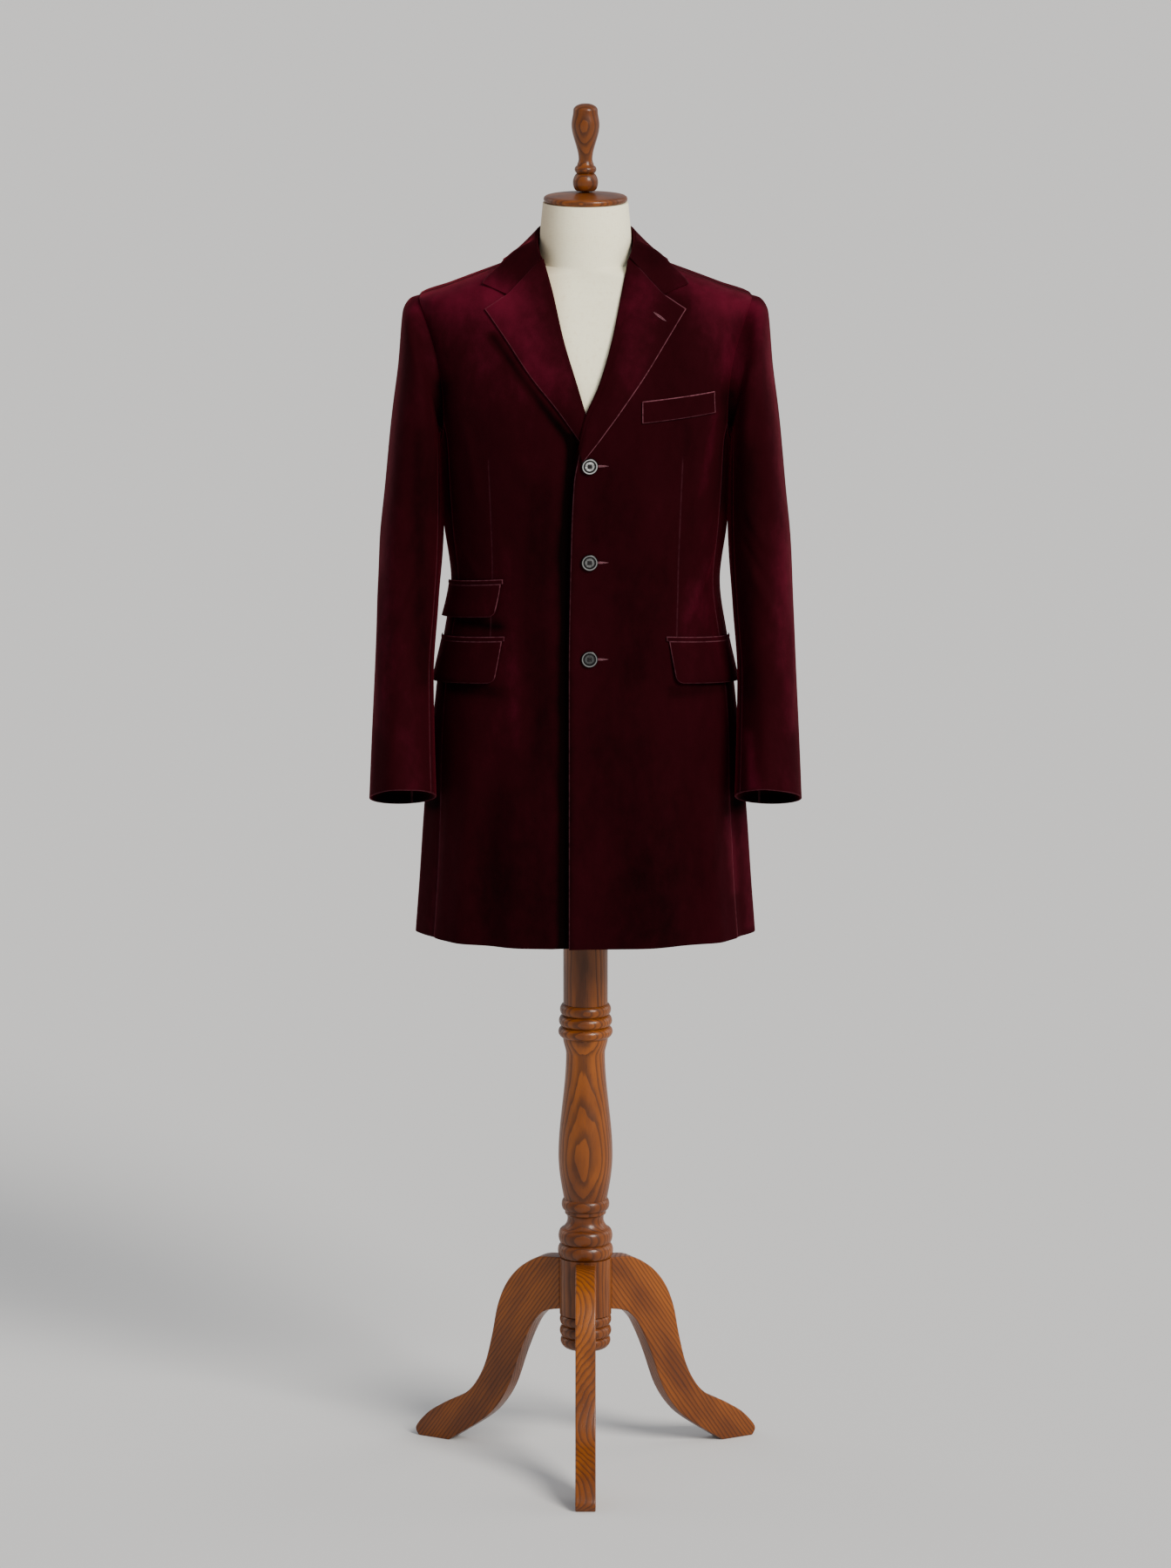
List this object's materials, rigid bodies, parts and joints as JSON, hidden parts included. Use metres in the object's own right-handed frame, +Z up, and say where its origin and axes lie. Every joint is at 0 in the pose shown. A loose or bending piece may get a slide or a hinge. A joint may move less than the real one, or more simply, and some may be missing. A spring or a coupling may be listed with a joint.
{
  "type": "velvet coat on a limbless dress form with a tripod stand",
  "caption": "Thigh-length single-breasted velvet coat with notch lapels and flap pockets, standing on a linen dress form and a turned wooden tripod post.",
  "frame": {"origin": "centre of the footprint on the floor, in front of the post's axis", "axes": "+Z up, -Y towards the front of the coat, +X towards the wearer's left"},
  "size_m": [0.566, 0.4003, 1.822],
  "materials": {
    "velvet": "dark wine velvet, short pile with a soft sheen",
    "linen": "cream linen, plain weave",
    "wood": "brown stained wood, satin varnish",
    "horn": "smoke grey, polished, ringed"
  },
  "bodies": {
    "root": {"front_left": "velvet", "front_right": "velvet", "side_left": "velvet", "side_right": "velvet", "back_left": "velvet", "back_right": "velvet", "top_sleeve_left": "velvet", "top_sleeve_right": "velvet", "under_sleeve_left": "velvet", "under_sleeve_right": "velvet", "lapel_left": "velvet", "lapel_right": "velvet", "collar": "velvet", "breast_welt": "velvet", "hip_flap_left": "velvet", "hip_flap_right": "velvet", "ticket_flap": "velvet", "hip_jet_left": "velvet", "hip_jet_right": "velvet", "ticket_jet": "velvet", "button_top": "horn", "button_middle": "horn", "button_low": "horn", "form_torso": "linen", "neck_cap": "wood", "finial": "wood", "pole": "wood", "column": "wood", "leg_front": "wood", "leg_left": "wood", "leg_right": "wood"}
  },
  "joints": []
}
